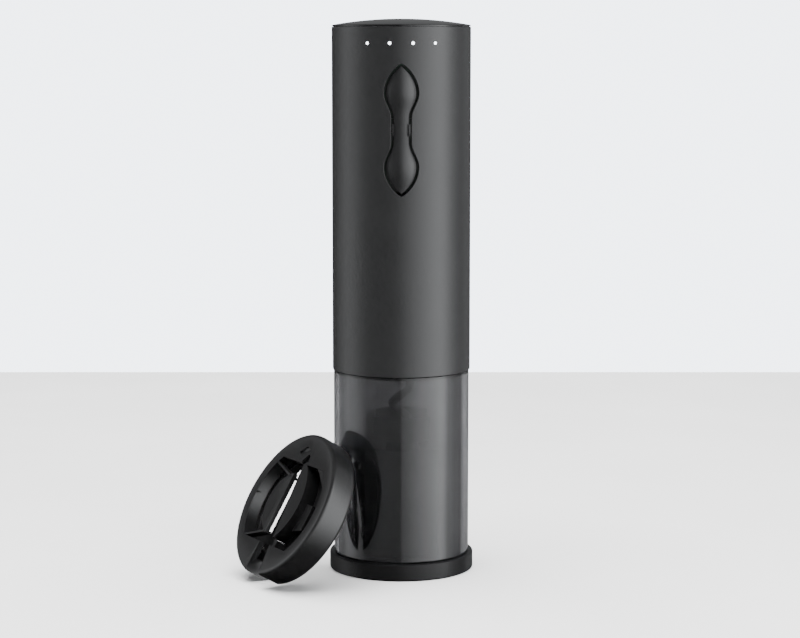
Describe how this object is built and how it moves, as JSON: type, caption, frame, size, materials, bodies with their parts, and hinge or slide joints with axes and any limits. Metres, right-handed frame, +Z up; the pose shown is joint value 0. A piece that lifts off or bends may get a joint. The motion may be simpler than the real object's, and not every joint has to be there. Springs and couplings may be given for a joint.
{
  "type": "electric wine opener",
  "caption": "Upright battery corkscrew: satin tube with rocker switch, smoked clear sleeve over a driven worm, base ring, and a slotted foil cutter leaning on it.",
  "frame": {"origin": "middle of the whole set's bounding box, on the surface it stands on; the tube's axis is at x 16.8 mm, y 11.0 mm", "axes": "+Z up along the tube, -Y towards the switch side, +X to the right seen from the switch side; the foil cutter leans on the -X side"},
  "size_m": [0.0862, 0.0744, 0.2],
  "materials": {
    "satin_black": "satin, fine moulded texture",
    "gloss_black": "polished",
    "smoked_clear": "polished smoked clear plastic",
    "smoked_inner": "polished smoked clear plastic",
    "cutter_black": "satin",
    "lens_white": "milky light guide",
    "steel": "bright",
    "worm_steel": "dark non-stick coating on steel",
    "dark_steel": "blackened",
    "bronze": "sintered",
    "zinc": "zinc plated",
    "acetal": "moulded",
    "chassis_grey": "moulded",
    "board_green": "solder mask",
    "cell_wrap": null
  },
  "bodies": {
    "opener": {"top_cap": "gloss_black", "upper_housing": "satin_black", "light_guide": "lens_white", "switch_frame": "chassis_grey", "control_board": "board_green", "charging_socket": "steel", "charging_board": "board_green", "chassis_front": "chassis_grey", "chassis_rear": "chassis_grey", "chassis_screw_1": "zinc", "chassis_screw_2": "zinc", "chassis_screw_3": "zinc", "chassis_screw_4": "zinc", "battery_holder": "chassis_grey", "battery_cell_left": "cell_wrap", "battery_cell_right": "cell_wrap", "battery_contact_left": "steel", "battery_contact_right": "steel", "battery_strap": "steel", "motor_can": "steel", "motor_end_cap": "acetal", "motor_plate": "dark_steel", "motor_screw_1": "zinc", "motor_screw_2": "zinc", "ring_gear_case": "acetal", "gearbox_nose": "acetal", "output_bush": "bronze", "cork_chamber": "chassis_grey", "neck_guide": "smoked_inner", "clear_sleeve": "smoked_clear", "base_ring": "gloss_black"},
    "rotor": {"motor_rotor": "dark_steel", "motor_pinion": "bronze"},
    "carrier_one": {"stage_one_carrier": "steel"},
    "worm_drive": {"output_carrier": "steel", "worm_holder": "dark_steel", "worm": "worm_steel"},
    "rocker": {"switch_rocker": "satin_black", "plunger_up": "acetal", "plunger_down": "acetal"},
    "cutter_left": {"cutter_jaw_left": "cutter_black", "wheel_pin_left_top": "zinc", "wheel_pin_left_bottom": "zinc"},
    "cutter_right": {"cutter_jaw_right": "cutter_black", "wheel_pin_right_top": "zinc", "wheel_pin_right_bottom": "zinc"},
    "planet_one_a": {"planet_one_a": "acetal"},
    "planet_one_b": {"planet_one_b": "acetal"},
    "planet_one_c": {"planet_one_c": "acetal"},
    "planet_two_a": {"planet_two_a": "acetal"},
    "planet_two_b": {"planet_two_b": "acetal"},
    "planet_two_c": {"planet_two_c": "acetal"},
    "wheel_left_top": {"wheel_left_top": "steel"},
    "wheel_left_bottom": {"wheel_left_bottom": "steel"},
    "wheel_right_top": {"wheel_right_top": "steel"},
    "wheel_right_bottom": {"wheel_right_bottom": "steel"}
  },
  "joints": [
    {"name": "rotor_spin", "type": "hinge", "parent": "opener", "child": "rotor", "pos_m": [0.01683, 0.01098, 0.13], "axis": [0, 0, 1], "continuous": true},
    {"name": "carrier_one_spin", "type": "hinge", "parent": "opener", "child": "carrier_one", "pos_m": [0.01683, 0.01098, 0.107], "axis": [0, 0, 1], "continuous": true},
    {"name": "worm_spin", "type": "hinge", "parent": "opener", "child": "worm_drive", "pos_m": [0.01683, 0.01098, 0.09], "axis": [0, 0, 1], "continuous": true},
    {"name": "planet_one_a_spin", "type": "hinge", "parent": "carrier_one", "child": "planet_one_a", "pos_m": [0.02425, 0.01098, 0.1094], "axis": [0, 0, 1], "continuous": true},
    {"name": "planet_one_b_spin", "type": "hinge", "parent": "carrier_one", "child": "planet_one_b", "pos_m": [0.01312, 0.01741, 0.1094], "axis": [0, 0, 1], "continuous": true},
    {"name": "planet_one_c_spin", "type": "hinge", "parent": "carrier_one", "child": "planet_one_c", "pos_m": [0.01312, 0.00455, 0.1094], "axis": [0, 0, 1], "continuous": true},
    {"name": "planet_two_a_spin", "type": "hinge", "parent": "worm_drive", "child": "planet_two_a", "pos_m": [0.02425, 0.01098, 0.1009], "axis": [0, 0, 1], "continuous": true},
    {"name": "planet_two_b_spin", "type": "hinge", "parent": "worm_drive", "child": "planet_two_b", "pos_m": [0.01312, 0.01741, 0.1009], "axis": [0, 0, 1], "continuous": true},
    {"name": "planet_two_c_spin", "type": "hinge", "parent": "worm_drive", "child": "planet_two_c", "pos_m": [0.01312, 0.00455, 0.1009], "axis": [0, 0, 1], "continuous": true},
    {"name": "switch_rock", "type": "hinge", "parent": "opener", "child": "rocker", "pos_m": [0.01683, -0.01062, 0.161], "axis": [1, 0, 0], "range_deg": [-2, 2], "stiffness_Nm_per_rad": 1},
    {"name": "cutter_lift", "type": "slide", "parent": "opener", "child": "cutter_left", "axis": [0, 0, 1], "range_m": [0, 0.06]},
    {"name": "cutter_squeeze", "type": "hinge", "parent": "cutter_left", "child": "cutter_right", "pos_m": [-0.0067, -0.00222, 0.04346], "axis": [0.7434, 0.4266, -0.515], "range_deg": [0, 2.5], "stiffness_Nm_per_rad": 3},
    {"name": "wheel_left_top_spin", "type": "hinge", "parent": "cutter_left", "child": "wheel_left_top", "pos_m": [-0.01461, 0.00144, 0.03904], "axis": [-0.7434, -0.4266, 0.515], "continuous": true},
    {"name": "wheel_left_bottom_spin", "type": "hinge", "parent": "cutter_left", "child": "wheel_left_bottom", "pos_m": [-0.03035, -0.00759, 0.00884], "axis": [-0.7434, -0.4266, 0.515], "continuous": true},
    {"name": "wheel_right_top_spin", "type": "hinge", "parent": "cutter_right", "child": "wheel_right_top", "pos_m": [-0.00753, -0.0109, 0.03904], "axis": [-0.7434, -0.4266, 0.515], "continuous": true},
    {"name": "wheel_right_bottom_spin", "type": "hinge", "parent": "cutter_right", "child": "wheel_right_bottom", "pos_m": [-0.02327, -0.01993, 0.00884], "axis": [-0.7434, -0.4266, 0.515], "continuous": true}
  ],
  "couplings": [
    {"joint": "carrier_one_spin", "follows": "rotor_spin", "ratio": 0.16667},
    {"joint": "worm_spin", "follows": "rotor_spin", "ratio": 0.027778},
    {"joint": "planet_one_a_spin", "follows": "rotor_spin", "ratio": -0.41667},
    {"joint": "planet_one_b_spin", "follows": "rotor_spin", "ratio": -0.41667},
    {"joint": "planet_one_c_spin", "follows": "rotor_spin", "ratio": -0.41667},
    {"joint": "planet_two_a_spin", "follows": "rotor_spin", "ratio": -0.069444},
    {"joint": "planet_two_b_spin", "follows": "rotor_spin", "ratio": -0.069444},
    {"joint": "planet_two_c_spin", "follows": "rotor_spin", "ratio": -0.069444}
  ]
}
